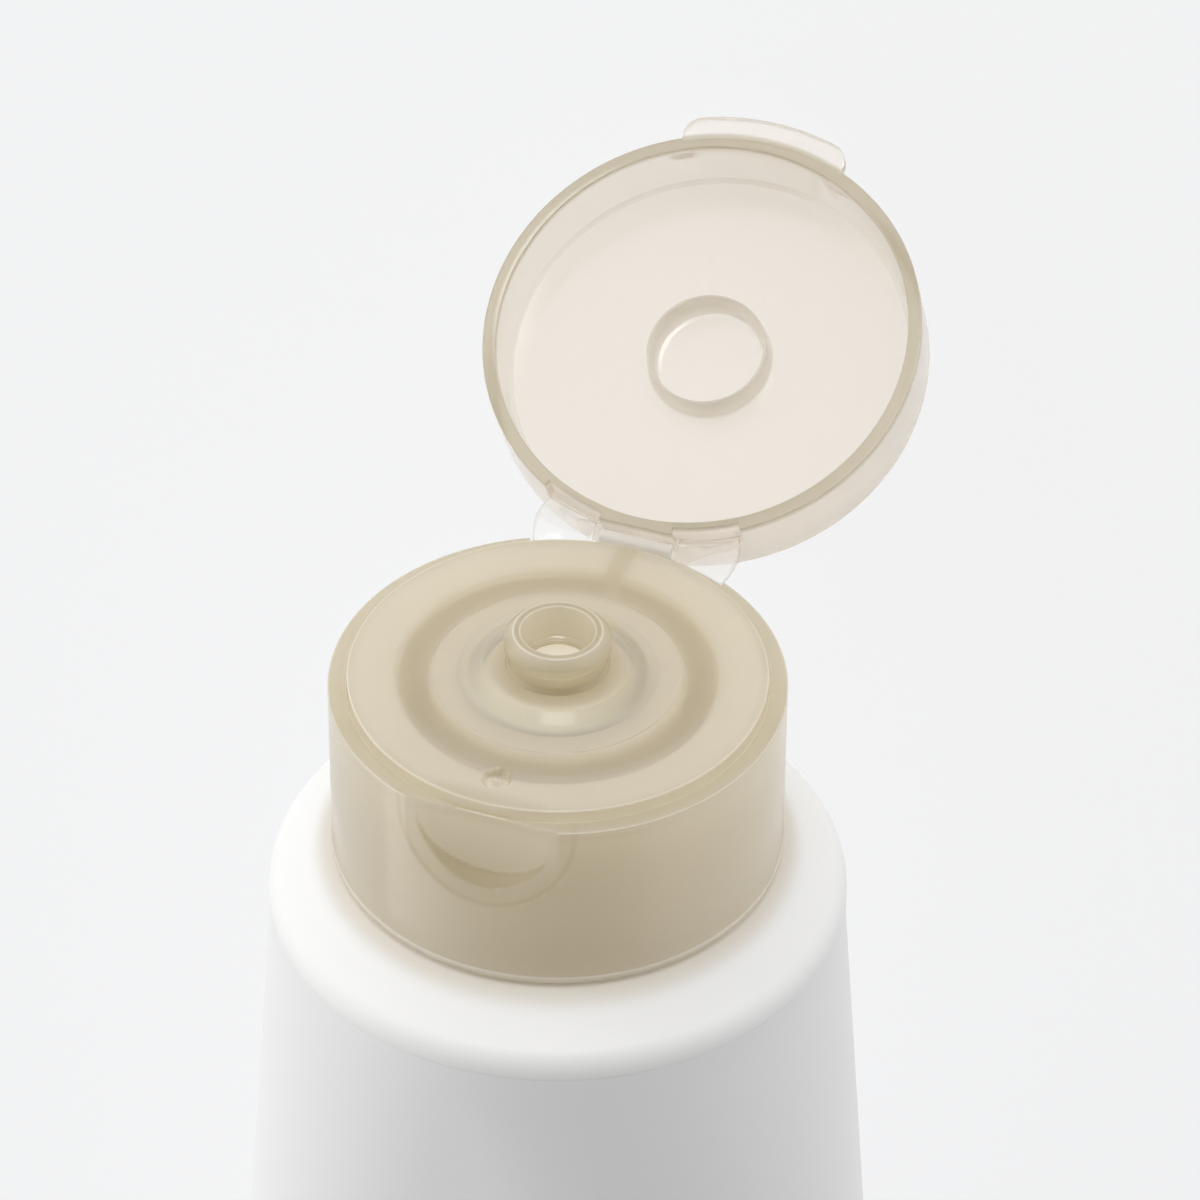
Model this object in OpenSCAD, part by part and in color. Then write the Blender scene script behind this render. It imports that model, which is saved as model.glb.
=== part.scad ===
// Face wash tube lying on its back, its flip-top lid open and propping up the head.
// Built in the tube's own frame: Z along the tube with 0 at the cap's ledge, +Y towards the lid's hinge. place() then
// lays it down with the origin on the surface under the middle of the box. Millimetres.

/* [Tube] */
// Tube diameter at the shoulder
tube_d = 40; // [34:1:50]
// Sleeve length from the weld line to the tail
sleeve_len = 132; // [90:1:180]
// Sleeve wall
sleeve_wall = 0.5; // [0.4:0.05:0.8]
// Height of the sealed band at the tail
seal_h = 8; // [5:0.5:12]
// Depth of the weld line below the cap's ledge
weld_depth = 18; // [17.6:0.1:20]

/* [Cap] */
// Cap diameter at the ledge
cap_d = 31; // [30:0.5:32]
// Height of the skirt below the ledge
skirt_h = 13.3; // [13:0.1:13.8]
// Skirt wall
skirt_wall = 1.45; // [1.2:0.05:1.6]
// Height of the deck above the ledge
deck_h = 0.8; // [0.6:0.05:0.9]
// Nozzle bore diameter
bore_d = 5; // [4.2:0.1:5.2]
// Height of the nozzle's lip above the ledge
lip_h = 4.4; // [4.2:0.05:4.5]
// Largest diameter of the nozzle's bead
bead_d = 7.3; // [6.8:0.05:7.4]

/* [Lid] */
// Height of the lid's top above the cap's ledge, closed
lid_h = 6; // [5.9:0.05:6.6]
// Lid wall at the rim
lid_wall = 0.95; // [0.8:0.05:1]
// Angle that the lid stands open
open_angle = 151.8; // [140:0.2:160]
// How far the thumb tab stands out from the lid
tab_out = 1.4; // [1:0.1:1.8]
// Half the tab's width as an angle
tab_angle = 21.5; // [15:0.5:25]

/* [Hinge] */
// Half the hinge recess as an angle
hinge_angle = 27.5; // [24:0.5:30]
// Width of the middle strap
strap_w = 5.3; // [4:0.1:6]
// Thickness of the strap
strap_t = 0.3; // [0.25:0.05:0.4]
// Thickness of the side webs
web_t = 0.2; // [0.15:0.05:0.3]

/* [Thumb recess] */
// Radius of the recess on the skirt's face
thumb_r = 6.3; // [5:0.1:6.8]
// Distance of its flat from the axis
thumb_flat = 14.35; // [14.3:0.05:14.8]

/* [Hidden] */
$fa = 4;
$fs = 0.4;
tube_r = tube_d / 2;
cap_r = cap_d / 2;
skirt_r = cap_r + 0.08;
skirt_in = cap_r - skirt_wall;
deck_r = cap_r - 1.3;
deck_under = deck_h - 1.1;
// Shoulder cone: its height at the skirt's face, its fall per millimetre of radius under the cap, and its outer edge
shoulder_z = -skirt_h - 0.5;
shoulder_fall = 0.76;
edge_in = tube_r - 0.9;
edge_z = 1.525 - weld_depth;
tail_z = -weld_depth - sleeve_len;
seal_w = PI * tube_r;
seal_t = 2 * sleeve_wall;
seal_top = tail_z + seal_h;
hull_top = -weld_depth - 2.4;
neck_r = 8.6;
neck_in = 6.15;
neck_top = -1;
shell_t = 1.1;
thread_in = neck_r + 0.2;
thread_out = thread_in + 1.9;
thread_z = shoulder_z - (thread_out - skirt_r) * shoulder_fall + 2.19;
plug_r = neck_in - 0.3;
plug_in = plug_r - 0.9;
plug_z = neck_top - 3.1;
bore_r = bore_d / 2;
bead_r = bead_d / 2;
orifice_r = bore_r - 0.4;
// Step in the bore, raised cone round the nozzle's foot, fine circle on the deck, gate dimple and ribs
floor_h = deck_h + 1.05;
cone_r = bead_r + 2.2;
circle_r = neck_r - 0.25;
dimple_y = -(deck_r - 2.6);
rib_w = 1.3;
rib_z = -4;
// The lid as closed
lid_z = 0.2;
lid_in = cap_r - lid_wall;
ceiling = lid_h - 1.1;
ring_out = bead_r + 0.7;
ring_in = bead_r + 0.28;
edge_r = 0.6;
bead_angle = tab_angle + 0.5;
// The fold line of the hinge
fold_y = cap_r;
fold_z = 1;
step_z = 2.3;
hinge_in = cap_r - 0.38;
lid_hinge_in = cap_r - 0.5;
film_gap = 0.1;
block_in = 0.2;
bend_r = 0.25;
// The floor touches the tail and the lid's outer edge
c_dy = -(cap_r - edge_r) - fold_y;
c_dz = lid_h - edge_r - fold_z;
c_y = fold_y + c_dy * cos(open_angle) + c_dz * sin(open_angle);
c_z = fold_z - c_dy * sin(open_angle) + c_dz * cos(open_angle);
run = norm([c_y - seal_t / 2, c_z - tail_z]);
tilt = atan2(c_y - seal_t / 2, c_z - tail_z) + asin(edge_r / run);
floor_z = -seal_t / 2 * cos(tilt) + tail_z * sin(tilt);
t_dy = -(cap_r + tab_out) - fold_y;
t_dz = lid_z - fold_z;
t_y = fold_y + t_dy * cos(open_angle) + t_dz * sin(open_angle);
t_z = fold_z - t_dy * sin(open_angle) + t_dz * cos(open_angle);
y_far = t_y * sin(tilt) + t_z * cos(tilt);
y_near = -seal_t / 2 * sin(tilt) + tail_z * cos(tilt);

white = [0.95, 0.95, 0.94];
beige = [0.80, 0.70, 0.52];
pale = [0.90, 0.87, 0.80];
cream = [0.96, 0.95, 0.90];

// Lays the tube down on the surface
module place() {
  translate([0, -(y_far + y_near) / 2, -floor_z]) rotate([tilt - 90, 0, 0]) children();
}

// Turns a closed lid to its open place
module opened() {
  translate([0, fold_y, fold_z]) rotate([-open_angle, 0, 0]) translate([0, -fold_y, -fold_z]) children();
}

// Ring sector, from one angle to another, counted from +X
module sector(r0, r1, a0, a1, z0, z1) {
  translate([0, 0, z0]) rotate([0, 0, a0]) rotate_extrude(angle = a1 - a0)
    translate([r0, 0]) square([r1 - r0, z1 - z0]);
}

// Tapering form from a round collar to the flat seal
module taper(r, w, t, z_up, z0, z1) {
  hull() {
    translate([0, 0, z0]) cylinder(r = r, h = z_up - z0, $fn = 96);
    translate([-w / 2, -t / 2, z1 - 0.8]) cube([w, t, 0.8]);
  }
}

module tube_sleeve() color(white) place() {
  difference() {
    union() {
      taper(tube_r, seal_w, seal_t, -weld_depth, hull_top, seal_top);
      translate([-seal_w / 2, -seal_t / 2, tail_z]) cube([seal_w, seal_t, seal_h]);
    }
    taper(tube_r - sleeve_wall, seal_w - 2, 0.3, 1 - weld_depth, hull_top, seal_top + 1.5);
  }
}

module tube_head() color(white) place() {
  fall = function(r) shoulder_z - (r - skirt_r) * shoulder_fall;
  lap_r = tube_r - sleeve_wall - 0.05;
  rotate_extrude() polygon([
    [neck_in, neck_top], [neck_r - 0.3, neck_top], [neck_r, neck_top - 0.3], [neck_r, fall(neck_r)],
    [skirt_r, shoulder_z], [edge_in - 0.35, edge_z + 0.266], [edge_in + 0.05, edge_z - 0.08],
    [edge_in + 0.4, edge_z - 0.42], [edge_in + 0.68, edge_z - 0.82], [edge_in + 0.85, edge_z - 1.2],
    [tube_r, -weld_depth + 0.06], [tube_r - 0.04, -weld_depth],
    [lap_r, -weld_depth], [lap_r, -weld_depth - 2], [lap_r - 0.8, -weld_depth - 2],
    [lap_r - 0.8, edge_z - shell_t], [skirt_r, shoulder_z - shell_t], [neck_in, fall(neck_in) - shell_t]]);
}

module face_wash() color(cream) place() {
  fill_r = tube_r - sleeve_wall - 0.1;
  top_r = tube_r - sleeve_wall - 0.95;
  under = edge_z - shell_t - 0.1;
  neck_under = shoulder_z - (neck_in - skirt_r) * shoulder_fall - shell_t - 0.1;
  union() {
    rotate_extrude() polygon([
      [0, hull_top], [top_r, hull_top], [top_r, under], [skirt_r, shoulder_z - shell_t - 0.1],
      [neck_in - 0.1, neck_under], [neck_in - 0.1, plug_z - 0.2], [plug_in - 0.1, plug_z - 0.2],
      [plug_in - 0.1, deck_under + 0.55],
      [orifice_r - 0.05, deck_under + 0.55], [orifice_r - 0.05, floor_h - 0.35], [0, floor_h - 0.35]]);
    taper(fill_r, seal_w - 2.8, 0.15, -weld_depth - 2.1, hull_top, seal_top + 2.4);
  }
}

// Rib under the deck at the back, between the two skirts
module rib() {
  translate([-rib_w / 2, thread_out - 0.3, rib_z]) cube([rib_w, skirt_in - thread_out + 0.6, deck_under + 0.3 - rib_z]);
}

module cap_base() color(beige) place() {
  difference() {
    union() {
      difference() {
        rotate_extrude() polygon([
          [skirt_in, 1 - skirt_h], [cap_r - 0.3, -skirt_h], [skirt_r, -skirt_h], [skirt_r, 0.4 - skirt_h],
          [skirt_r - 0.05, 0.5 - skirt_h], [cap_r, -0.15], [cap_r - 0.12, 0], [deck_r + 0.28, 0],
          [deck_r + 0.2, -0.1], [deck_r + 0.04, -0.1], [deck_r, deck_h - 0.1], [deck_r - 0.1, deck_h],
          [circle_r + 0.1, deck_h], [circle_r, deck_h + 0.06], [cone_r + 0.35, deck_h + 0.12], [cone_r, deck_h + 0.22],
          [cone_r - 0.7, deck_h + 0.65], [cone_r - 1.05, deck_h + 0.75],
          [bead_r + 0.1, deck_h + 0.8], [bead_r - 0.15, deck_h + 0.95],
          [bead_r - 0.3, deck_h + 1.3], [bead_r - 0.33, lip_h - 1.5], [bead_r - 0.08, lip_h - 1.2],
          [bead_r, lip_h - 1], [bead_r, lip_h - 0.7], [bead_r - 0.15, lip_h - 0.45], [bore_r + 0.52, lip_h - 0.04],
          [bore_r + 0.46, lip_h], [bore_r + 0.08, lip_h], [bore_r, lip_h - 0.08], [bore_r, floor_h + 0.1],
          [orifice_r, floor_h], [orifice_r, deck_under + 0.65],
          [plug_in, deck_under + 0.65], [plug_in, plug_z + 0.3], [plug_in + 0.25, plug_z], [plug_r - 0.25, plug_z],
          [plug_r, plug_z + 0.5], [plug_r, deck_under], [thread_in, deck_under], [thread_in, thread_z],
          [thread_out, thread_z], [thread_out, deck_under], [skirt_in, deck_under]]);
        // Hinge recess in the skirt's edge
        sector(hinge_in, cap_r + 1, 90 - hinge_angle, 90 + hinge_angle, -2.6, 1);
        // Thumb recess, with its flat and sloped foot
        difference() {
          translate([0, -thumb_flat, -0.7]) rotate([90, 0, 0]) cylinder(r1 = thumb_r - 1.7, r2 = thumb_r + 0.75, h = 1.9);
          translate([-thumb_r, -thumb_flat - 0.02, -4.1]) rotate([22, 0, 0]) translate([0, -3, -4]) cube([2 * thumb_r, 3, 4]);
        }
      }
      rib();
    }
    // Gate dimple with its nub
    difference() {
      translate([0, dimple_y, deck_h - 0.45]) cylinder(r1 = 0.75, r2 = 1.08, h = 0.5);
      translate([0, dimple_y, deck_h - 0.6]) cylinder(r1 = 0.42, r2 = 0.22, h = 0.45);
    }
  }
}

module cap_lid() color(beige) place() opened() {
  union() {
    difference() {
      rotate_extrude() polygon([
        [lid_in, lid_z], [cap_r - 0.12, lid_z], [cap_r, lid_z + 0.15], [cap_r, lid_h - edge_r],
        for (a = [15:15:75]) [cap_r - edge_r + edge_r * cos(a), lid_h - edge_r + edge_r * sin(a)],
        [cap_r - edge_r, lid_h], [0, lid_h], [0, ceiling + 0.4], [ring_in - 0.45, ceiling + 0.4],
        [ring_in - 0.45, lip_h + 0.1], [ring_in, lip_h - 0.4], [ring_in + 0.08, 3], [ring_in + 0.14, 2.9],
        [ring_out - 0.12, 2.9], [ring_out, ceiling - 0.15], [ring_out + 0.15, ceiling], [lid_in - 0.9, ceiling],
        [lid_in - 0.35, ceiling - 0.25], [lid_in - 0.22, ceiling - 0.7], [lid_in - 0.05, 1.2]]);
      // Hinge recess in the lid's edge, beside the middle block
      sector(lid_hinge_in, cap_r + 1, 90 - hinge_angle, 90 - asin(strap_w / 2 / cap_r), 0, step_z);
      sector(lid_hinge_in, cap_r + 1, 90 + asin(strap_w / 2 / cap_r), 90 + hinge_angle, 0, step_z);
      translate([-strap_w, cap_r - block_in, 0]) cube([2 * strap_w, 1, step_z]);
    }
    // Thumb tab
    difference() {
      sector(cap_r - 0.5, cap_r + tab_out, 270 - tab_angle, 270 + tab_angle, lid_z, lid_z + 0.8);
      for (s = [-1, 1]) rotate([0, 0, 270 + s * tab_angle]) translate([cap_r + tab_out, 0, lid_z - 0.1])
        difference() {
          translate([-1.1, -1.1, 0]) cube([2.2, 2.2, 1]);
          translate([-1.1, -s * 1.1, -1]) cylinder(r = 1.1, h = 3);
        }
    }
    // Snap beads inside the rim
    for (s = [-1, 1]) sector(lid_in - 0.22, lid_in + 0.2, 270 + s * bead_angle - 4, 270 + s * bead_angle + 4, 0.95, 1.4);
  }
}

// Middle strap, arched from the cap's edge to the face of the lid's block
module hinge_strap() color(pale) place() {
  half_t = strap_t / 2;
  a_y = hinge_in + film_gap + half_t;
  face = [fold_y - block_in * cos(open_angle), fold_z + block_in * sin(open_angle)];
  into = [-cos(open_angle), sin(open_angle)];
  along = [sin(open_angle), cos(open_angle)];
  c_z = face[1] - (bend_r + half_t + film_gap - (face[0] - a_y - bend_r) * into[0]) / into[1];
  c = [a_y + bend_r, c_z];
  end = along * (step_z - 0.1 - fold_z - (c - face) * along);
  outer = bend_r + half_t;
  inner = bend_r - half_t;
  steps = [180:-open_angle / 12:179.9 - open_angle];
  translate([-strap_w / 2, 0, 0]) rotate([90, 0, 90]) linear_extrude(strap_w) polygon(concat(
    [[a_y + half_t, c_z - 0.85], [a_y - half_t, c_z - 0.85]],
    [for (q = steps) c + outer * [cos(q), sin(q)]], [c + outer * into + end, c + inner * into + end],
    [for (q = [180 - open_angle:open_angle / 12:180.1]) c + inner * [cos(q), sin(q)]]));
}

// Place of a point on the lid's step, opened
function on_lid(x, y, z) = [x, fold_y + (y - fold_y) * cos(open_angle) + (z - fold_z) * sin(open_angle),
                            fold_z - (y - fold_y) * sin(open_angle) + (z - fold_z) * cos(open_angle)];

// Thin side web from the cap's edge to the lid's step
module web(s) {
  a0 = asin((strap_w / 2 + 0.35) / hinge_in);
  a1 = hinge_angle - 1;
  r_cap = hinge_in + film_gap + 0.15;
  r_lid = lid_hinge_in + film_gap + 0.15;
  near_cap = [s * r_cap * sin(a0), r_cap * cos(a0), -0.15];
  far_cap = [s * r_cap * sin(a1), r_cap * cos(a1), -0.15];
  near_lid = on_lid(s * r_lid * sin(a0), r_lid * cos(a0), step_z - 0.2);
  far_lid = on_lid(s * r_lid * sin(a1), r_lid * cos(a1), step_z - 0.2);
  near_mid = (near_cap + near_lid) / 2 + [0, 0, 0.7];
  far_mid = (far_cap + far_lid) / 2 + [s * 0.25, 0, 0.1];
  for (quad = [[near_cap, far_cap, far_mid, near_mid], [near_mid, far_mid, far_lid, near_lid]])
    hull() for (p = quad) translate(p) cube(web_t, center = true);
}

module web_left() color(pale) place() web(-1);

module web_right() color(pale) place() web(1);

tube_sleeve();
tube_head();
face_wash();
cap_base();
cap_lid();
hinge_strap();
web_left();
web_right();
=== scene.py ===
"""Looks of a face wash tube lying on its back with its flip-top lid open.

Millimetres of the tube's own frame are turned into the row frame by at(). In the tube's own frame x runs along the
hinge, y towards the hinge, and z up the tube's axis with 0 at the cap's ledge."""
import math

import bmesh
import bpy
import numpy as np
from mathutils import Matrix, Vector
from mathutils.bvhtree import BVHTree


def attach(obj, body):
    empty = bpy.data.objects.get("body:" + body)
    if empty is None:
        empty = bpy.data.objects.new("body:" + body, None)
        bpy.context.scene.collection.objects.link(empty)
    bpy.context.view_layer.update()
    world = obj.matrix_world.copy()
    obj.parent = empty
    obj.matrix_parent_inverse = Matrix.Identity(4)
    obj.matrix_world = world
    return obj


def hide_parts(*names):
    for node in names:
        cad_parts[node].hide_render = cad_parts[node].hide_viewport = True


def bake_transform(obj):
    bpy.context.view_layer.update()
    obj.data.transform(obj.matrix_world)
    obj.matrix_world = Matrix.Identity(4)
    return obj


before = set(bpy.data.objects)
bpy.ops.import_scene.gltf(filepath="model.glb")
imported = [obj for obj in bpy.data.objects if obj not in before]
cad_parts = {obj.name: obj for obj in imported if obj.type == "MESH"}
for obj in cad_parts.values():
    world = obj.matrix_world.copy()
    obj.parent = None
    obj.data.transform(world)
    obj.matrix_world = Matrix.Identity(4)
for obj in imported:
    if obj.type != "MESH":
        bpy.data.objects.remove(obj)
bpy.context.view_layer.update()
scene = bpy.context.scene

# Sizes of the part, in millimetres and degrees
TILT = math.radians(15.403974)
Y_MID, FLOOR = -58.369263, -40.325488
CAP_R, OPEN = 15.5, math.radians(151.8)
FOLD_Y, FOLD_Z = 15.5, 1.0
PHOTO_WIDTH = 1200


def at(x, y, z):
    """Row-frame point, in metres, of a point of the tube's own frame."""
    s, c = math.sin(TILT), math.cos(TILT)
    return Vector((x, y * s + z * c - Y_MID, -y * c + z * s - FLOOR)) / 1000


def from_row(co):
    """Point of the tube's own frame, in millimetres, of a row-frame point."""
    s, c = math.sin(TILT), math.cos(TILT)
    p, q = co.y * 1000 + Y_MID, co.z * 1000 + FLOOR
    return co.x * 1000, p * s - q * c, p * c + q * s


def turned(x, y, z):
    """Direction of the tube's own frame in the row frame."""
    s, c = math.sin(TILT), math.cos(TILT)
    return Vector((x, y * s + z * c, -y * c + z * s))


def opened(x, y, z):
    """A point of the closed lid where the open lid has it."""
    c, s = math.cos(OPEN), math.sin(OPEN)
    dy, dz = y - FOLD_Y, z - FOLD_Z
    return x, FOLD_Y + dy * c + dz * s, FOLD_Z - dy * s + dz * c


# Camera: fitted to the rims of the cap and the lid. Lengths in cap radii, seen from the cap's centre
def make_camera():
    f, dist, elev, roll = 6000.0, 26.05456, 0.6891895, 0.0065224
    tx, ty, phi = -0.1830092, 0.3503772, 0.3444873
    base = Matrix(((1, 0, 0), (0, 0, -1), (0, 1, 0)))
    turn = Matrix.Rotation(roll, 3, "Z") @ Matrix.Rotation(elev, 3, "X") @ base
    shift = Vector((tx, ty, dist))
    side, back = Vector((math.cos(phi), -math.sin(phi), 0)), Vector((math.sin(phi), math.cos(phi), 0))

    def tube(v):
        return v.dot(side), v.dot(back), v.z

    right, down, ahead = (turned(*tube(Vector(turn[i]))) for i in range(3))
    place = at(*(CAP_R * c for c in tube(-(turn.transposed() @ shift))))
    data = bpy.data.cameras.new("camera")
    data.sensor_width = 36
    data.lens = f / PHOTO_WIDTH * data.sensor_width
    data.clip_start, data.clip_end = 0.01, 100
    cam = bpy.data.objects.new("camera", data)
    scene.collection.objects.link(cam)
    cam.matrix_world = Matrix((
        (right.x, -down.x, -ahead.x, place.x), (right.y, -down.y, -ahead.y, place.y),
        (right.z, -down.z, -ahead.z, place.z), (0, 0, 0, 1)))
    scene.camera = cam


make_camera()
scene.view_settings.view_transform = "Standard"
# Directions of the studio's dark side and of its brighter end, as seen from the tube
DARK_SIDE, BRIGHT_END = tuple(turned(0.338, -0.941, 0)), (-0.13, 0, 0)
SOFT_BOX = tuple(turned(0.0617, -0.1718, 0.9832))


# Materials
GLOSSY, SATIN, SHADOW_TINT = (0.1, 0.16), (0.38, 0.46), (0.74, 0.66, 0.54, 1)


def new_material(name):
    m = bpy.data.materials.new(name)
    m.use_nodes = True
    nt = m.node_tree
    return m, nt, nt.nodes["Principled BSDF"], nt.nodes["Material Output"]


def bump(nt, shader, size, strength, depth=1e-4, detail=3.0):
    """Fine unevenness of a moulded surface, from noise of that size in metres."""
    where = nt.nodes.new("ShaderNodeTexCoord")
    noise = nt.nodes.new("ShaderNodeTexNoise")
    noise.inputs["Scale"].default_value = 1 / size
    noise.inputs["Detail"].default_value = detail
    node = nt.nodes.new("ShaderNodeBump")
    node.inputs["Strength"].default_value = strength
    node.inputs["Distance"].default_value = depth
    nt.links.new(where.outputs["Object"], noise.inputs["Vector"])
    nt.links.new(noise.outputs["Fac"], node.inputs["Height"])
    nt.links.new(node.outputs["Normal"], shader.inputs["Normal"])
    return noise


def varied_roughness(nt, shader, noise, low, high):
    """Roughness that wanders with the noise."""
    span = map_range(nt, noise.outputs["Fac"], 0.0, 1.0, low, high)
    nt.links.new(span.outputs["Result"], shader.inputs["Roughness"])


def map_range(nt, source, start, end, low=0.0, high=1.0, smooth=False):
    """Value that runs from low to high while the source runs from start to end."""
    node = nt.nodes.new("ShaderNodeMapRange")
    if smooth:
        node.interpolation_type = "SMOOTHSTEP"
    for name, value in (("From Min", start), ("From Max", end), ("To Min", low), ("To Max", high)):
        node.inputs[name].default_value = value
    nt.links.new(source, node.inputs["Value"])
    return node


def mixed(nt, share, first, second):
    """Shader between two others. The share is a number or an output."""
    node = nt.nodes.new("ShaderNodeMixShader")
    if isinstance(share, float):
        node.inputs[0].default_value = share
    else:
        nt.links.new(share, node.inputs[0])
    nt.links.new(first, node.inputs[1])
    nt.links.new(second, node.inputs[2])
    return node.outputs[0]


def stored(nt, name):
    """Value that the mesh holds under that name."""
    node = nt.nodes.new("ShaderNodeAttribute")
    node.attribute_name = name
    return node.outputs["Fac"]


def two_colours(nt, share, first, second):
    node = nt.nodes.new("ShaderNodeMix")
    node.data_type = "RGBA"
    node.inputs[6].default_value = (*first, 1)
    node.inputs[7].default_value = (*second, 1)
    nt.links.new(share, node.inputs[0])
    return node.outputs[2]


def clear_plastic(name, thin, thick, through, glow_share, absorb, density, inner=0.4, coat=0.5):
    """Translucent moulded plastic: glossy outside, hazy to look through and lit up from behind.

    It is darker where more of it lies behind the surface, and where shade is painted in, which "depth" says, rougher by
    "inside", and less clear by "dense". Rays from the lights pass it straight."""
    m, nt, shader, out = new_material(name)
    shader.inputs["Transmission Weight"].default_value = through
    shader.inputs["IOR"].default_value = 1.49
    shader.inputs["Coat Weight"].default_value = coat
    shader.inputs["Coat Roughness"].default_value = 0.04
    noise = bump(nt, shader, 0.004, 0.05, 1e-5, 1.0)
    finish = map_range(nt, noise.outputs["Fac"], 0.0, 1.0, *GLOSSY)
    roughness = map_range(nt, stored(nt, "inside"), 0.0, 1.0, 0.0, inner)
    nt.links.new(finish.outputs["Result"], roughness.inputs["To Min"])
    nt.links.new(roughness.outputs["Result"], shader.inputs["Roughness"])
    tint = two_colours(nt, stored(nt, "depth"), thin, thick)
    nt.links.new(tint, shader.inputs["Base Color"])
    back = nt.nodes.new("ShaderNodeBsdfTranslucent")
    nt.links.new(tint, back.inputs["Color"])
    milky = mixed(nt, glow_share, shader.outputs[0], back.outputs[0])
    dense = nt.nodes.new("ShaderNodeBsdfDiffuse")
    nt.links.new(tint, dense.inputs["Color"])
    body = mixed(nt, stored(nt, "dense"), milky, dense.outputs[0])
    lamp = nt.nodes.new("ShaderNodeBsdfTransparent")
    lamp.inputs["Color"].default_value = SHADOW_TINT
    path = nt.nodes.new("ShaderNodeLightPath")
    nt.links.new(mixed(nt, path.outputs["Is Shadow Ray"], body, lamp.outputs[0]), out.inputs["Surface"])
    volume = nt.nodes.new("ShaderNodeVolumeAbsorption")
    volume.inputs["Color"].default_value = (*absorb, 1)
    volume.inputs["Density"].default_value = density
    nt.links.new(volume.outputs["Volume"], out.inputs["Volume"])
    return m


def film_plastic(name, through, alpha):
    """Thin clear film of the hinge: mostly seen through, with gloss and a faint outline."""
    m, nt, shader, _ = new_material(name)
    shader.inputs["Base Color"].default_value = (0.97, 0.96, 0.95, 1)
    shader.inputs["Transmission Weight"].default_value = through
    shader.inputs["IOR"].default_value = 1.42
    shader.inputs["Alpha"].default_value = alpha
    noise = bump(nt, shader, 0.004, 0.03, 1e-5, 1.0)
    varied_roughness(nt, shader, noise, 0.05, 0.12)
    return m


def white_plastic(name, base, painted_cap_shade=None):
    """Satin white polyethylene, slightly waxy, with a warm shade painted in by a second colour where the mesh holds a
    share of it. The shade stands in for the cap's tinted shadow.
    """
    m, nt, shader, _ = new_material(name)
    shader.inputs["Base Color"].default_value = (*base, 1)
    if painted_cap_shade:
        nt.links.new(two_colours(nt, stored(nt, "painted_cap_shade"), base, painted_cap_shade), shader.inputs["Base Color"])
    shader.inputs["IOR"].default_value = 1.5
    noise = bump(nt, shader, 0.0011, 0.12, 3e-5)
    varied_roughness(nt, shader, noise, *SATIN)
    return m


cap_mat = clear_plastic(
    "cap_translucent", thin=(1.0, 0.995, 0.975), thick=(0.72, 0.665, 0.51), through=0.66, glow_share=0.36,
    absorb=(0.84, 0.76, 0.50), density=60, coat=1.0)
lid_mat = clear_plastic(
    "lid_translucent", thin=(0.985, 0.97, 0.975), thick=(0.57, 0.525, 0.40), through=0.85, glow_share=0.26,
    absorb=(0.84, 0.74, 0.50), density=50, inner=0.16)
film_mat = film_plastic("hinge_film", through=0.9, alpha=0.4)
strap_mat = film_plastic("strap_film", through=0.3, alpha=0.75)
sleeve_mat = white_plastic("sleeve_white", (0.90, 0.90, 0.895))
# The head's second colour is painted shade: the cap's warm shadow on its shoulder.
head_mat = white_plastic("head_white", (0.91, 0.91, 0.90), painted_cap_shade=(0.74, 0.69, 0.61))
paste_mat, paste_nt, paste_shader, _ = new_material("face_wash_cream")
paste_shader.inputs["Base Color"].default_value = (0.84, 0.79, 0.68, 1)
paste_shader.inputs["Roughness"].default_value = 0.25
bump(paste_nt, paste_shader, 0.0015, 0.3, 1e-4)


# Mesh tools
def rounded(corners, steps=3):
    """Outline through corners (a, b, radius), each turned on an arc of that radius where it has room."""
    out, n = [], len(corners)
    for i, (x, y, radius) in enumerate(corners):
        p = np.array((x, y))
        if not radius:
            out.append(p)
            continue
        before, after = np.array(corners[i - 1][:2]) - p, np.array(corners[(i + 1) % n][:2]) - p
        room_a, room_b = np.hypot(*before), np.hypot(*after)
        if min(room_a, room_b) < 1e-6:
            out += [p] * (steps + 1)
            continue
        before, after = before / room_a, after / room_b
        half = math.acos(max(-1, min(1, float(before @ after)))) / 2
        if half > 1.55 or half < 0.02:
            out += [p] * (steps + 1)
            continue
        cut = min(radius / math.tan(half), 0.47 * room_a, 0.47 * room_b)
        middle = (before + after) / np.hypot(*(before + after))
        centre = p + middle * cut / math.cos(half)
        a, b = p + before * cut - centre, p + after * cut - centre
        turn = math.atan2(a[0] * b[1] - a[1] * b[0], a @ b)
        for k in range(steps + 1):
            c, s = math.cos(turn * k / steps), math.sin(turn * k / steps)
            out.append(centre + (a[0] * c - a[1] * s, a[0] * s + a[1] * c))
    return out


def finish_piece(name, bm, material, crease=32):
    """Mesh object in the row frame, smooth but for its creases, with flat faces kept flat in the shading."""
    bmesh.ops.remove_doubles(bm, verts=bm.verts, dist=5e-7)
    bmesh.ops.dissolve_degenerate(bm, edges=bm.edges, dist=2e-7)
    bmesh.ops.recalc_face_normals(bm, faces=bm.faces)
    mesh = bpy.data.meshes.new(name)
    bm.to_mesh(mesh)
    bm.free()
    mesh.polygons.foreach_set("use_smooth", [True] * len(mesh.polygons))
    mesh.set_sharp_from_angle(angle=math.radians(crease))
    mesh.materials.append(material)
    obj = bpy.data.objects.new(name, mesh)
    scene.collection.objects.link(obj)
    weigh = obj.modifiers.new("flat faces", "WEIGHTED_NORMAL")
    weigh.keep_sharp = True
    return obj


# Thickness at which plastic looks well tinted, for the cap and the lid, and how far it is felt, in millimetres
CAP_SCALE, LID_SCALE, SOUND_REACH = 2.9, 3.6, 7.0


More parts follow.
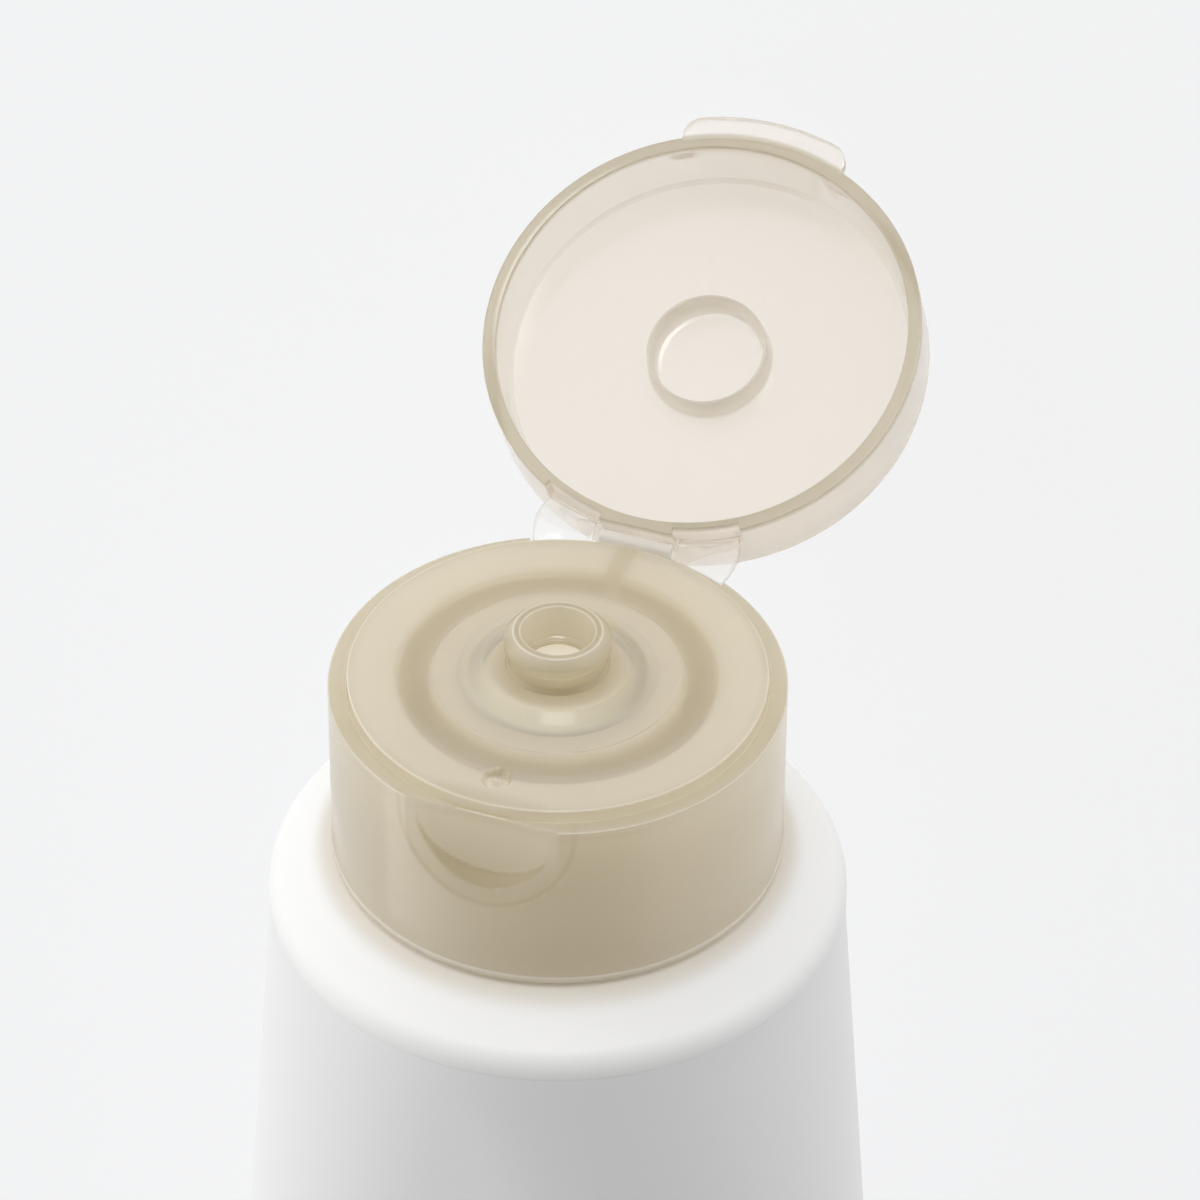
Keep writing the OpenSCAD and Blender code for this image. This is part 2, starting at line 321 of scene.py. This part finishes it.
def sound_depth(obj, scale, top, darker, inside=None, dense=None):
    """Stores on each face corner how much plastic lies behind it, from 0 to 1, felt over a cone of directions.

    darker(co) draws that towards 1, or towards 0 where it is negative. inside(co) and dense(co) are kept on points."""
    mesh = obj.data
    tree = BVHTree.FromPolygons([v.co for v in mesh.vertices], [tuple(p.vertices) for p in mesh.polygons])
    cone = [(0.0, 0.0)] + [(math.radians(a), math.radians(b)) for a, b in
                           ((14, 0), (14, 120), (14, 240), (27, 60), (27, 180), (27, 300))]
    felt = np.zeros(len(mesh.polygons))
    for p in mesh.polygons:
        n = p.normal
        u = n.orthogonal().normalized()
        v = n.cross(u)
        total = 0.0
        for lean, turn in cone:
            way = -(n * math.cos(lean) + (u * math.cos(turn) + v * math.sin(turn)) * math.sin(lean))
            hit = tree.ray_cast(p.center - n * 4e-6, way, top / 1000)
            total += math.exp(-(hit[3] * 1000 if hit[0] is not None else top) / scale)
        felt[p.index] = 1 - total / len(cone)
    near = [[] for _ in mesh.vertices]
    for p in mesh.polygons:
        for k in p.vertices:
            near[k].append(p.index)
    normals = [p.normal.copy() for p in mesh.polygons]
    areas = [max(p.area, 1e-12) for p in mesh.polygons]
    values = np.zeros(len(mesh.loops))
    for p in mesh.polygons:
        for loop in p.loop_indices:
            same = [q for q in near[mesh.loops[loop].vertex_index] if normals[q].dot(normals[p.index]) > 0.8]
            weight = sum(areas[q] for q in same)
            values[loop] = sum(felt[q] * areas[q] for q in same) / weight if same else felt[p.index]
    for loop in mesh.loops:
        k = loop.index
        share = darker(mesh.vertices[loop.vertex_index].co)
        values[k] += (1 - values[k]) * share if share > 0 else values[k] * share
    mesh.attributes.new("depth", "FLOAT", "CORNER").data.foreach_set("value", values)
    for name, share in (("inside", inside), ("dense", dense)):
        if share:
            values = [share(v.co) for v in mesh.vertices]
            mesh.attributes.new(name, "FLOAT", "POINT").data.foreach_set("value", values)


def grid_piece(name, rings, material, place=at, wrap=True, loop=True, crease=32):
    """Piece from rings of as many points each. wrap joins the last ring to the first, loop joins each ring's ends."""
    bm = bmesh.new()
    verts = [[bm.verts.new(place(*p)) for p in ring] for ring in rings]
    count, size = len(rings), len(rings[0])
    for i in range(count if wrap else count - 1):
        a, b = verts[i], verts[(i + 1) % count]
        for j in range(size if loop else size - 1):
            k = (j + 1) % size
            bm.faces.new((a[j], a[k], b[k], b[j]))
    if not wrap and loop:
        for ends in (verts[0], verts[-1]):
            bm.faces.new(ends)
    if wrap and not loop:
        for j in (0, -1):
            bm.faces.new([ring[j] for ring in verts])
    return finish_piece(name, bm, material, crease)


def lathe(name, profile, angles, material, place=at, loop=True):
    """Piece turned about the tube's axis. profile(angle) gives the corners (radius, height, rounding) there."""
    rings = []
    for angle in angles:
        c, s = math.cos(math.radians(angle)), math.sin(math.radians(angle))
        rings.append([(r * c, r * s, z) for r, z in rounded(profile(angle))])
    return grid_piece(name, rings, material, place, loop=loop)


def azimuths(step, fine=(), crisp=()):
    """Angles all round, with finer runs (first, last, step) and pairs of angles at crisp edges."""
    runs = [np.arange(a, b + 1e-6, d) for a, b, d in fine]
    plain = [a for a in np.arange(0, 360, step) if not any(lo <= a <= hi for lo, hi, _ in fine)]
    every = np.concatenate([plain, *runs]) if runs else np.array(plain)
    for edge in crisp:
        every = every[np.abs(every - edge) > 0.08]
    return sorted(set(np.round(np.concatenate([every, *[(e - 0.012, e + 0.012) for e in crisp]]), 4)))


def ease(x):
    """Smooth step from 0 to 1."""
    x = min(max(x, 0.0), 1.0)
    return x * x * (3 - 2 * x)


# Sizes of the cap, in millimetres
SKIRT_R, SKIRT_H, SKIRT_IN = 15.58, 13.3, 14.05
DECK_R, DECK_H, DECK_UNDER = 14.2, 0.8, -0.3
BORE_R, LIP_R, LIP_H, BEAD_R, FLOOR_H, ORIFICE_R = 2.5, 3.02, 4.4, 3.65, 1.85, 2.1
PLUG_IN, PLUG_R, PLUG_Z = 4.95, 5.85, -4.1
THREAD_IN, THREAD_OUT = 8.8, 10.7
HINGE_A, HINGE_IN, RECESS_Z = 27.5, 15.12, -2.6
RIB_A, RIB_Z = 3.0, -4.0
THUMB_R, THUMB_U, THUMB_Z, THUMB_FLAT, THUMB_INNER = 6.3, 0.2, -0.8, 14.5, 13.25
DIMPLE_Y, DIMPLE_R = -11.6, 1.05


def thumb_reach(u, z):
    """Distance inside the thumb recess's U outline."""
    return THUMB_R - math.hypot(u - THUMB_U, min(z - THUMB_Z, 0))


def skirt_face(angle, z):
    """Radius of the skirt's outer face."""
    if abs(angle - 90) < HINGE_A and z > RECESS_Z:
        return HINGE_IN
    if abs(angle - 270) > 30:
        return CAP_R
    c, s = math.cos(math.radians(angle)), -math.sin(math.radians(angle))
    r = CAP_R
    for _ in range(4):
        u = r * c
        t = thumb_reach(u, z)
        if t <= 0:
            return CAP_R
        depth = 0.05 * ease(t / 0.6) + 0.17 * t + 0.6 * max(t - 1.5, 0)
        y = math.sqrt(CAP_R ** 2 - u * u) - depth
        gap = y - THUMB_FLAT
        r = (THUMB_FLAT + (gap + math.sqrt(gap * gap + 0.008)) / 2) / s
        r = min(r, CAP_R - 0.02 * ease(t / 0.1))
    return r


def skirt_back(angle, z):
    """Radius of the skirt's inner face, which follows the thumb recess."""
    if abs(angle - 270) > 25:
        return SKIRT_IN
    c, s = math.cos(math.radians(angle)), -math.sin(math.radians(angle))
    r = SKIRT_IN
    for _ in range(4):
        u = r * c
        plane = THUMB_INNER + 0.35 * max(2.4 - thumb_reach(u, z), 0)
        r = min(SKIRT_IN, plane / s)
    return r


def deck_face(angle, r):
    """Height of the deck, with the gate's dimple and nub."""
    if abs(angle - 270) > 9:
        return DECK_H
    off = math.hypot(r * math.cos(math.radians(angle)), r * math.sin(math.radians(angle)) - DIMPLE_Y)
    return DECK_H - 0.42 * ease((DIMPLE_R - off) / 0.32) + 0.3 * ease((0.46 - off) / 0.26)


SKIRT_ROWS = [-12.4, -11.5, -10, -8.8, -8, -7.6] + list(np.arange(-7.4, RECESS_Z - 0.08, 0.165)) + \
             [RECESS_Z - 0.012, RECESS_Z + 0.012] + list(np.arange(RECESS_Z + 0.16, -0.2, 0.165))
BACK_ROWS = list(np.arange(-0.6, -7.6, -0.23)) + [-8, -9, -10.5]
DECK_ROWS = [14.0, 13.8, 13.5, 13.1] + list(np.arange(12.75, 10.4, -0.11)) + list(np.arange(10.3, 8.5, -0.2))


def cap_profile(angle):
    under = RIB_Z if abs(angle - 90) < RIB_A else DECK_UNDER
    top = skirt_face(angle, 0)
    corners = [(SKIRT_IN, 1 - SKIRT_H, 0.15), (CAP_R - 0.3, -SKIRT_H, 0.12), (SKIRT_R, -SKIRT_H, 0.1),
               (SKIRT_R, 0.45 - SKIRT_H, 0.05), (CAP_R, 0.55 - SKIRT_H, 0.05)]
    corners += [(skirt_face(angle, z), z, 0) for z in SKIRT_ROWS]
    corners += [(top, 0, 0.13), (top - 0.2, 0, 0), (DECK_R + 0.27, 0, 0.06), (DECK_R + 0.2, -0.14, 0.05),
                (DECK_R + 0.05, -0.14, 0.05), (DECK_R + 0.02, DECK_H - 0.2, 0), (DECK_R, DECK_H, 0.14)]
    corners += [(r, deck_face(angle, r), 0) for r in DECK_ROWS]
    corners += [(8.43, DECK_H, 0.05), (8.35, DECK_H + 0.07, 0.05), (BEAD_R + 3.2, DECK_H + 0.08, 0.8),
                (BEAD_R + 2.35, DECK_H + 0.22, 0.9), (BEAD_R + 1.4, DECK_H + 0.78, 0.3),
                (BEAD_R + 0.8, DECK_H + 0.8, 0.3), (BEAD_R - 0.1, DECK_H + 0.84, 0.06),
                (BEAD_R - 0.16, DECK_H + 1.02, 0.06),
                (BEAD_R - 0.3, DECK_H + 1.2, 0.25), (BEAD_R - 0.34, LIP_H - 1.5, 0.35),
                (BEAD_R, LIP_H - 1.15, 0.3), (BEAD_R, LIP_H - 0.62, 0.2), (LIP_R, LIP_H, 0.45),
                (LIP_R - 0.2, LIP_H, 0), (BORE_R + 0.18, LIP_H, 0), (BORE_R + 0.02, LIP_H, 0.1),
                (BORE_R - 0.05, FLOOR_H + 0.1, 0.12), (ORIFICE_R + 0.12, FLOOR_H, 0.06),
                (ORIFICE_R + 0.06, FLOOR_H - 0.07, 0.03), (ORIFICE_R, FLOOR_H - 0.1, 0.05),
                (ORIFICE_R, DECK_UNDER + 0.65, 0.1), (PLUG_IN, DECK_UNDER + 0.65, 0.35),
                (PLUG_IN, PLUG_Z, 0.3), (PLUG_R, PLUG_Z, 0.25), (PLUG_R, DECK_UNDER, 0.3), (THREAD_IN, DECK_UNDER, 0.3),
                (THREAD_IN, -11.65, 0.2), (THREAD_OUT, -11.65, 0.2), (THREAD_OUT, under, 0.3)]
    corners += [(skirt_back(angle, under), under, 0.3 if under == DECK_UNDER else 0.05)]
    corners += [(skirt_back(angle, min(z, under - 0.3)), min(z, under - 0.3), 0) for z in BACK_ROWS]
    return corners


cap_angles = azimuths(1.8, fine=[(245, 295, 0.55)],
                      crisp=(90 - HINGE_A, 90 + HINGE_A, 90 - RIB_A, 90 + RIB_A))
cap = lathe("cap_moulding", cap_profile, cap_angles, cap_mat)


def cap_inside(co):
    """1 at places that lie under the deck and within the skirt."""
    x, y, z = from_row(co)
    r = math.hypot(x, y)
    in_skirt = z < DECK_UNDER + 0.1 and r < SKIRT_IN + 0.1
    in_plug = z < 0.4 and ORIFICE_R + 0.3 < r < PLUG_R
    return 1.0 if in_skirt or in_plug else 0.0


# Edges of the cap that catch the light, painted as highlights: spared the painted shade and made more solid, as
# (radius, height, reach)
BRIGHT_EDGES = ((LIP_R, LIP_H, 0.11), (BORE_R + 0.02, LIP_H, 0.09), (CAP_R, 0, 0.1), (DECK_R, DECK_H, 0.11),
                (SKIRT_R, 0.45 - SKIRT_H, 0.05))


def edge_highlight_share(r, z):
    return max(ease((reach - math.hypot(r - a, z - b)) / (0.4 * reach)) for a, b, reach in BRIGHT_EDGES)


def cap_share(co):
    """How far a place is darkened: painted shade on the nozzle's walls, standing in for the dark side they reflect, and
    over the plug's wall, standing in for the shaded wall and gap seen through the deck; and the thumb recess's outline
    and foot. The bright edges are spared it, which leaves them as painted highlights.
    """
    x, y, z = from_row(co)
    r = math.hypot(x, y)
    # Painted shade on the nozzle's walls, standing in for the dark side that they reflect.
    nozzle = 0.8 * ease((BEAD_R + 0.35 - r) / 0.3) * ease((z - DECK_H - 0.5) / 0.5)
    if r < BORE_R + 0.15:
        nozzle *= 0.45
    # Painted shade over the plug's wall, standing in for the shaded wall and gap seen through the deck.
    plug = 0.8 * ease((PLUG_R + 0.75 - r) / 0.5) * ease((r - PLUG_IN + 0.15) / 0.25)
    plug *= ease((z - DECK_H + 0.1) / 0.1)
    foot = 0.0
    if y < -THUMB_FLAT + 1 and r > THUMB_INNER and z > -8:
        reach = thumb_reach(x, z)
        if -y > THUMB_FLAT + 0.02:
            foot = 0.95 * ease((reach - 1.35) / 0.2) * ease((-y - THUMB_FLAT - 0.02) / 0.06)
        foot = max(foot, 0.4 * ease((0.45 - reach) / 0.2) * ease((reach + 0.05) / 0.15))
    # The bright edges keep none of the painted shade, which paints them as highlights.
    return max(nozzle, foot, plug) * (1 - edge_highlight_share(r, z))


def cap_dense(co):
    """How far a place is seen as solid: the foot of the nozzle's cone over the plug's wall, more so towards the front,
    where it shows lighter and stands in for the cone's highlight, and the bright edges, for their painted highlight.
    """
    x, y, z = from_row(co)
    r = math.hypot(x, y)
    foot = ease((6.5 - r) / 0.4) * ease((r - PLUG_IN + 0.25) / 0.3) * ease((z - DECK_H + 0.2) / 0.1)
    # More solid towards the front: a painted highlight at the front of the cone's foot.
    return max(foot * (0.3 + 0.3 * ease(-y / 6)), 0.4 * edge_highlight_share(r, z))


sound_depth(cap, CAP_SCALE, SOUND_REACH, cap_share, cap_inside, cap_dense)
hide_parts("cap_base")
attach(cap, "tube")

# Lid, drawn closed and turned open
LID_Z, LID_H, LID_IN, CEILING, LID_EDGE = 0.2, 6.0, 14.55, 4.9, 0.6
RING_OUT, RING_IN, STEP_Z, LID_HINGE_IN = 4.35, 3.93, 2.3, 15.0
STRAP_W, BLOCK_Y = 5.3, 15.3
BLOCK_A = math.degrees(math.asin(STRAP_W / 2 / CAP_R))
TAB_OUT, TAB_A, TAB_CORNER, TAB_T = 1.5, 22.3, 1.7, 0.8


def tab_reach(angle):
    """How far the thumb tab stands out at that angle."""
    side = math.radians(TAB_A - abs(angle - 270)) * (CAP_R + TAB_OUT)
    if side <= 0:
        return 0.0
    over = max(TAB_CORNER - side, 0)
    return TAB_OUT * math.sqrt(max(1 - (over / TAB_CORNER) ** 2, 0))


def lid_profile(angle):
    off = abs(angle - 90)
    foot = CAP_R
    if off < BLOCK_A:
        foot = min(CAP_R, BLOCK_Y / math.cos(math.radians(off)))
    elif off < HINGE_A:
        foot = LID_HINGE_IN
    tab = tab_reach(angle)
    bead = 0.22 * ease(1.6 - abs(abs(angle - 270) - TAB_A - 0.5) / 3)
    return [(7, LID_H, 0), (11, LID_H, 0), (CAP_R, LID_H, LID_EDGE),
            (CAP_R, STEP_Z, 0.03), (foot, STEP_Z, 0.03), (foot, LID_Z + TAB_T + 0.15, 0),
            (foot, LID_Z + TAB_T, 0.12), (foot + min(tab, 0.25), LID_Z + TAB_T, 0), (foot + tab, LID_Z + TAB_T, 0.07),
            (foot + tab, LID_Z, 0.07), (foot - 0.12 + min(tab, 0.37), LID_Z, 0),
            (foot - 0.12 + min(tab, 0.12), LID_Z, 0), (foot - 0.3, LID_Z, 0), (LID_IN, LID_Z, 0.12),
            (LID_IN - 0.01, 0.75, 0), (LID_IN - 0.02 - 0.5 * bead, 0.92, 0), (LID_IN - 0.03 - bead, 1.08, 0),
            (LID_IN - 0.03 - bead, 1.25, 0), (LID_IN - 0.04 - 0.5 * bead, 1.42, 0), (LID_IN - 0.05, 1.6, 0),
            (LID_IN - 0.16, CEILING - 0.32, 0.08), (LID_IN - 0.46, CEILING, 0.08), (LID_IN - 1.6, CEILING, 0),
            (RING_OUT + 0.15, CEILING, 0.12), (RING_OUT, CEILING - 0.2, 0.1), (RING_OUT - 0.1, 2.9, 0.1),
            (RING_IN + 0.1, 2.9, 0.1), (RING_IN, LIP_H - 0.4, 0.2), (RING_IN - 0.12, CEILING + 0.1, 0.1),
            (RING_IN - 0.45, CEILING + 0.15, 0.2), (3, CEILING + 0.15, 0)]


def at_lid(x, y, z):
    return at(*opened(x, y, z))


lid_angles = azimuths(1.8, fine=[(246.5, 255, 0.25), (285, 293.5, 0.25)],
                      crisp=(90 - HINGE_A, 90 + HINGE_A, 90 - BLOCK_A, 90 + BLOCK_A))
lid = lathe("lid_moulding", lid_profile, lid_angles, lid_mat, at_lid, loop=False)


def closed_place(co):
    """Radius, height and angle of a place on the lid, as the closed lid has it."""
    x, y, z = from_row(co)
    c, s = math.cos(OPEN), math.sin(OPEN)
    dy, dz = y - FOLD_Y, z - FOLD_Z
    back = FOLD_Y + dy * c - dz * s
    return math.hypot(x, back), FOLD_Z + dy * s + dz * c, math.degrees(math.atan2(back, x)) % 360


def lid_share(co):
    """The lid's rim and seal ring, which are seen along their walls."""
    r, z, angle = closed_place(co)
    rim = 0.9 * ease((0.45 - z) / 0.15) * ease((CAP_R + 0.25 - r) / 0.1)
    ring = 0.45 * ease((RING_OUT + 0.1 - r) / 0.05) * ease((r - RING_IN + 0.3) / 0.1) * ease((CEILING - z) / 0.2)
    tab = ease((r - CAP_R - 0.02) / 0.1) * ease((LID_Z + TAB_T + 0.3 - z) / 0.1)
    if tab > 0:
        return 0.5 if r > CAP_R + tab_reach(angle) - 0.05 else -0.85 * tab
    return max(rim, ring)


sound_depth(lid, LID_SCALE, SOUND_REACH, lid_share)
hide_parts("cap_lid")
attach(lid, "lid")


# Hinge films. Paths run in the plane across the hinge line, as (y, z)
STRAP_T, WEB_T, BEND_R = 0.3, 0.16, 0.25


def strap_rings():
    y0 = HINGE_IN + 0.1 + STRAP_T / 2
    face = opened(0, BLOCK_Y, FOLD_Z)[1:]
    into, along = (-math.cos(OPEN), math.sin(OPEN)), (math.sin(OPEN), math.cos(OPEN))
    reach = BEND_R + STRAP_T / 2 + 0.1
    z0 = face[1] - (reach - (face[0] - y0 - BEND_R) * into[0]) / into[1]
    cy = y0 + BEND_R
    end = STEP_Z - 0.1 - FOLD_Z - ((cy - face[0]) * along[0] + (z0 - face[1]) * along[1])
    path = [(y0, z0 - 0.85 + 0.17 * k, -1.0, 0.0) for k in range(5)]
    for k in range(25):
        q = math.pi - OPEN * k / 24
        path.append((cy + BEND_R * math.cos(q), z0 + BEND_R * math.sin(q), math.cos(q), math.sin(q)))
    for k in range(1, 7):
        path.append((path[29][0] + along[0] * end * k / 6, path[29][1] + along[1] * end * k / 6, into[0], into[1]))
    rings = []
    for y, z, ny, nz in path:
        h, w, r = STRAP_T / 2, STRAP_W / 2, 0.1
        ring = rounded([(-w, -h, r), (w, -h, r), (w, h, r), (-w, h, r)], 2)
        rings.append([(a, y + ny * b, z + nz * b) for a, b in ring])
    return rings


strap = grid_piece("hinge_strap_film", strap_rings(), strap_mat, wrap=False)


def web_rings(side):
    """Side web: a thin sheet from the cap's recess to the lid's step, bowed a little outwards."""
    a0, a1 = math.degrees(math.asin((STRAP_W / 2 + 0.35) / HINGE_IN)), HINGE_A - 0.7
    rings = []
    for i in range(17):
        a = math.radians(a0 + (a1 - a0) * i / 16)
        low = Vector((side * (HINGE_IN + 0.13) * math.sin(a), (HINGE_IN + 0.13) * math.cos(a), -0.35))
        r = LID_HINGE_IN + 0.13
        high = Vector(opened(side * r * math.sin(a), r * math.cos(a), STEP_Z - 0.12))
        bow = Vector((side * 0.55 * (i / 16) ** 3, 0.1, 0.75 - 0.6 * i / 16))
        line = [low.lerp(high, k / 14) + bow * math.sin(math.pi * k / 14) for k in range(15)]
        rings.append(line)
    return rings


def web(name, side):
    rings = web_rings(side)
    bm = bmesh.new()
    verts = [[bm.verts.new(at(*p)) for p in ring] for ring in rings]
    for a, b in zip(verts, verts[1:]):
        for j in range(len(a) - 1):
            bm.faces.new((a[j], a[j + 1], b[j + 1], b[j]))
    obj = finish_piece(name, bm, film_mat)
    thick = obj.modifiers.new("film", "SOLIDIFY")
    thick.thickness = WEB_T / 1000
    thick.offset = 0
    thick.use_even_offset = True
    obj.modifiers.move(1, 0)
    return obj


films = [(strap, "hinge_strap"), (web("web_film_left", -1), "web_left"), (web("web_film_right", 1), "web_right")]
for piece, node in films:
    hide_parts(node)
    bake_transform(piece)

# Tube head
TUBE_R, WELD, NECK_IN, NECK_R, NECK_TOP = 20.0, -18.0, 6.15, 8.6, -1.0
SHOULDER_Z, FALL, SHELL_T, LAP_R, ROUND = -13.8, 0.76, 1.1, 19.45, 2.2


def head_profile(_):
    drop = (TUBE_R - SKIRT_R) * FALL
    slope = [(r, SHOULDER_Z - (r - SKIRT_R) * 0.689, 0) for r in (15.9, 16.2, 16.5, 16.8, 17.2, 18)]
    turn = [(TUBE_R - ROUND + ROUND * math.cos(a), WELD + ROUND * math.sin(a), 0)
            for a in np.radians(np.arange(55, 0, -5.0))]
    return [(NECK_IN, NECK_TOP, 0.15), (NECK_R, NECK_TOP, 0.3), (NECK_R, SHOULDER_Z - (NECK_R - SKIRT_R) * FALL, 0.4),
            (SKIRT_R, SHOULDER_Z, 0), *slope, *turn, (TUBE_R, WELD + 0.05, 0), (TUBE_R - 0.04, WELD, 0),
            (LAP_R, WELD, 0), (LAP_R, WELD - 2, 0.2), (LAP_R - 0.8, WELD - 2, 0.2),
            (LAP_R - 0.8, SHOULDER_Z - drop - SHELL_T + 0.9, 1), (SKIRT_R, SHOULDER_Z - SHELL_T, 0),
            (NECK_IN, SHOULDER_Z - (NECK_IN - SKIRT_R) * FALL - SHELL_T, 0.5)]


head = lathe("head_moulding", head_profile, azimuths(1.5), head_mat)
# Painted shade: the shoulder is tinted warmer and darker close to the cap's skirt, standing in for the shadow and
# tinted light that the cap casts on it.
cap_shade_share = [ease((SKIRT_R + 1.6 - math.hypot(*from_row(v.co)[:2])) / 1.5) for v in head.data.vertices]
head.data.attributes.new("painted_cap_shade", "FLOAT", "POINT").data.foreach_set("value", cap_shade_share)
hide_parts("tube_head")
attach(head, "tube")

# Sleeve: round at the weld, pressed flat at the tail, swollen a little by its contents
SLEEVE_END, SEAL_H, SEAL_T, WALL = -150.0, 8.0, 1.0, 0.5
ROUND_END, AROUND, BODY_RINGS, CRIMP = -20.4, 192, 75, 0.06


def sleeve_section(share, trim, bulge):
    """Points of the section at that share of the way to the seal, shaped by its half width and half depth."""
    girth = 2 * math.pi * (TUBE_R - trim)
    half_w = (TUBE_R - trim) * (1 - share) + (girth / 4) * share
    corner = (TUBE_R - trim) * (1 - share) + (SEAL_T / 2 - trim) * share
    flat = half_w - corner
    total = 4 * flat + 2 * math.pi * corner
    deep = corner
    for _ in range(30):
        around = math.pi * (3 * (half_w + deep) - math.sqrt((3 * half_w + deep) * (half_w + 3 * deep)))
        deep = max(deep + (girth - around) / 9, 0.01)
    deep = max(deep, corner)
    points = []
    for k in range(AROUND):
        run = (k / AROUND * total + flat) % total
        quarter, rest = divmod(run, total / 2)
        sign = 1 if quarter == 0 else -1
        if rest < 2 * flat:
            x, y = flat - rest, corner
        else:
            q = (rest - 2 * flat) / corner if corner > 0 else 0
            x, y = -flat - corner * math.sin(q), corner * math.cos(q)
        x, y = x * sign, y * sign
        oval = deep * math.sqrt(max(1 - (x / half_w) ** 2, 0)) * (1 if y >= 0 else -1)
        points.append((x, y + (oval - y) * bulge))
    return points


def sleeve_body(trim, narrowing):
    """Rings from the round end to the seal, of the outer face or of one that lies deeper by the trim."""
    rings, length = [], SLEEVE_END + SEAL_H - ROUND_END
    for k in range(BODY_RINGS):
        share = k / (BODY_RINGS - 1)
        bulge = 0.5 * math.sin(math.pi * share) ** 0.7 if 0 < share < 1 else 0
        z = ROUND_END + length * share
        rings.append([(x, y, z) for x, y in sleeve_section(share * narrowing, trim, bulge)])
    return rings


def sleeve_seal():
    """Rings of the seal, with its crimped lines and its rounded end."""
    rings, flat = [], sleeve_section(1, 0, 0)
    for k in range(1, 61):
        z = SLEEVE_END + SEAL_H - 0.6 - 7.0 * k / 61
        pinch = CRIMP * (1 - math.cos(2 * math.pi * k / 6)) * (1 if k < 60 else 0)
        rings.append([(x, y * (1 - pinch / (SEAL_T / 2)), z) for x, y in flat])
    for k in range(6):
        a = k / 5 * math.pi / 2
        inset = 0.25 * (1 - math.cos(a))
        z = SLEEVE_END + 0.25 * (1 - math.sin(a))
        rings.append([(x * (1 - inset / 31), y * (1 - inset / (SEAL_T / 2)), z) for x, y in flat])
    return rings


def sleeve_rings():
    """Rings from the deepest place inside, up to the weld and down the outside to the seal's end."""
    top = [[(x, y, WELD) for x, y in sleeve_section(0, WALL, 0)]]
    weld = [[(x, y, z) for x, y in sleeve_section(0, cut, 0)]
            for z, cut in ((WELD, 0.04), (WELD - 0.03, 0.015), (WELD - 0.1, 0.0), (-19.0, 0.0))]
    return list(reversed(sleeve_body(WALL, 0.985))) + top + weld + sleeve_body(0.0, 1) + sleeve_seal()


def skin(bm, rings):
    """Faces between rings, with both ends closed."""
    verts = [[bm.verts.new(at(*p)) for p in ring] for ring in rings]
    for a, b in zip(verts, verts[1:]):
        for j in range(len(a)):
            k = (j + 1) % len(a)
            bm.faces.new((a[j], a[k], b[k], b[j]))
    for ring in (verts[0], verts[-1]):
        n = len(ring)
        for k in range(-n // 4, n // 4):
            corners = []
            for i in (k, k + 1, n // 2 - k - 1, n // 2 - k):
                if ring[i % n] not in corners:
                    corners.append(ring[i % n])
            bm.faces.new(corners)


bm = bmesh.new()
skin(bm, sleeve_rings())
sleeve = finish_piece("sleeve_skin", bm, sleeve_mat)
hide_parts("tube_sleeve")
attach(sleeve, "tube")

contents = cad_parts["face_wash"].data
contents.materials.clear()
contents.materials.append(paste_mat)


# Studio
def studio():
    # Floor
    bpy.ops.mesh.primitive_plane_add(size=6, location=(0, 0, 0))
    floor = bpy.context.object
    floor.name = "studio_floor"
    m, nt, shader, out = new_material("floor_white")
    shader.inputs["Base Color"].default_value = (0.86, 0.86, 0.865, 1)
    shader.inputs["Roughness"].default_value = 0.9
    glow = nt.nodes.new("ShaderNodeEmission")
    glow.inputs["Color"].default_value = (0.935, 0.94, 0.95, 1)
    path = nt.nodes.new("ShaderNodeLightPath")
    part = map_range(nt, path.outputs["Is Diffuse Ray"], 0.0, 1.0, 0.86, 0.35)
    nt.links.new(mixed(nt, part.outputs["Result"], shader.outputs[0], glow.outputs[0]), out.inputs["Surface"])
    floor.data.materials.append(m)

    # World: a light tent that is dark on one side, above and to the right, and brightest opposite and at the left
    world = bpy.data.worlds.new("studio")
    scene.world = world
    world.use_nodes = True
    nt = world.node_tree
    nt.nodes.clear()
    out = nt.nodes.new("ShaderNodeOutputWorld")
    where = nt.nodes.new("ShaderNodeTexCoord")

    def along(direction):
        """How far a direction of the world points along another."""
        node = nt.nodes.new("ShaderNodeVectorMath")
        node.operation = "DOT_PRODUCT"
        node.inputs[1].default_value = direction
        nt.links.new(where.outputs["Generated"], node.inputs[0])
        return node.outputs["Value"]

    def added(first, second):
        node = nt.nodes.new("ShaderNodeMath")
        nt.links.new(first, node.inputs[0])
        nt.links.new(second, node.inputs[1])
        return node.outputs[0]

    tent = map_range(nt, along(DARK_SIDE), 0.05, 0.98, 1.3, 0.22, smooth=True)
    # Soft box above, a little towards the camera
    box = map_range(nt, along(SOFT_BOX), 0.972, 0.99, 0.0, 5.0, smooth=True)
    light = nt.nodes.new("ShaderNodeBackground")
    light.inputs["Color"].default_value = (1, 1, 1, 1)
    total = added(added(tent.outputs["Result"], along(BRIGHT_END)), box.outputs["Result"])
    nt.links.new(total, light.inputs["Strength"])
    seen = nt.nodes.new("ShaderNodeBackground")
    seen.inputs["Color"].default_value = (0.92, 0.925, 0.94, 1)
    path = nt.nodes.new("ShaderNodeLightPath")
    nt.links.new(mixed(nt, path.outputs["Is Camera Ray"], light.outputs[0], seen.outputs[0]), out.inputs["Surface"])


studio()
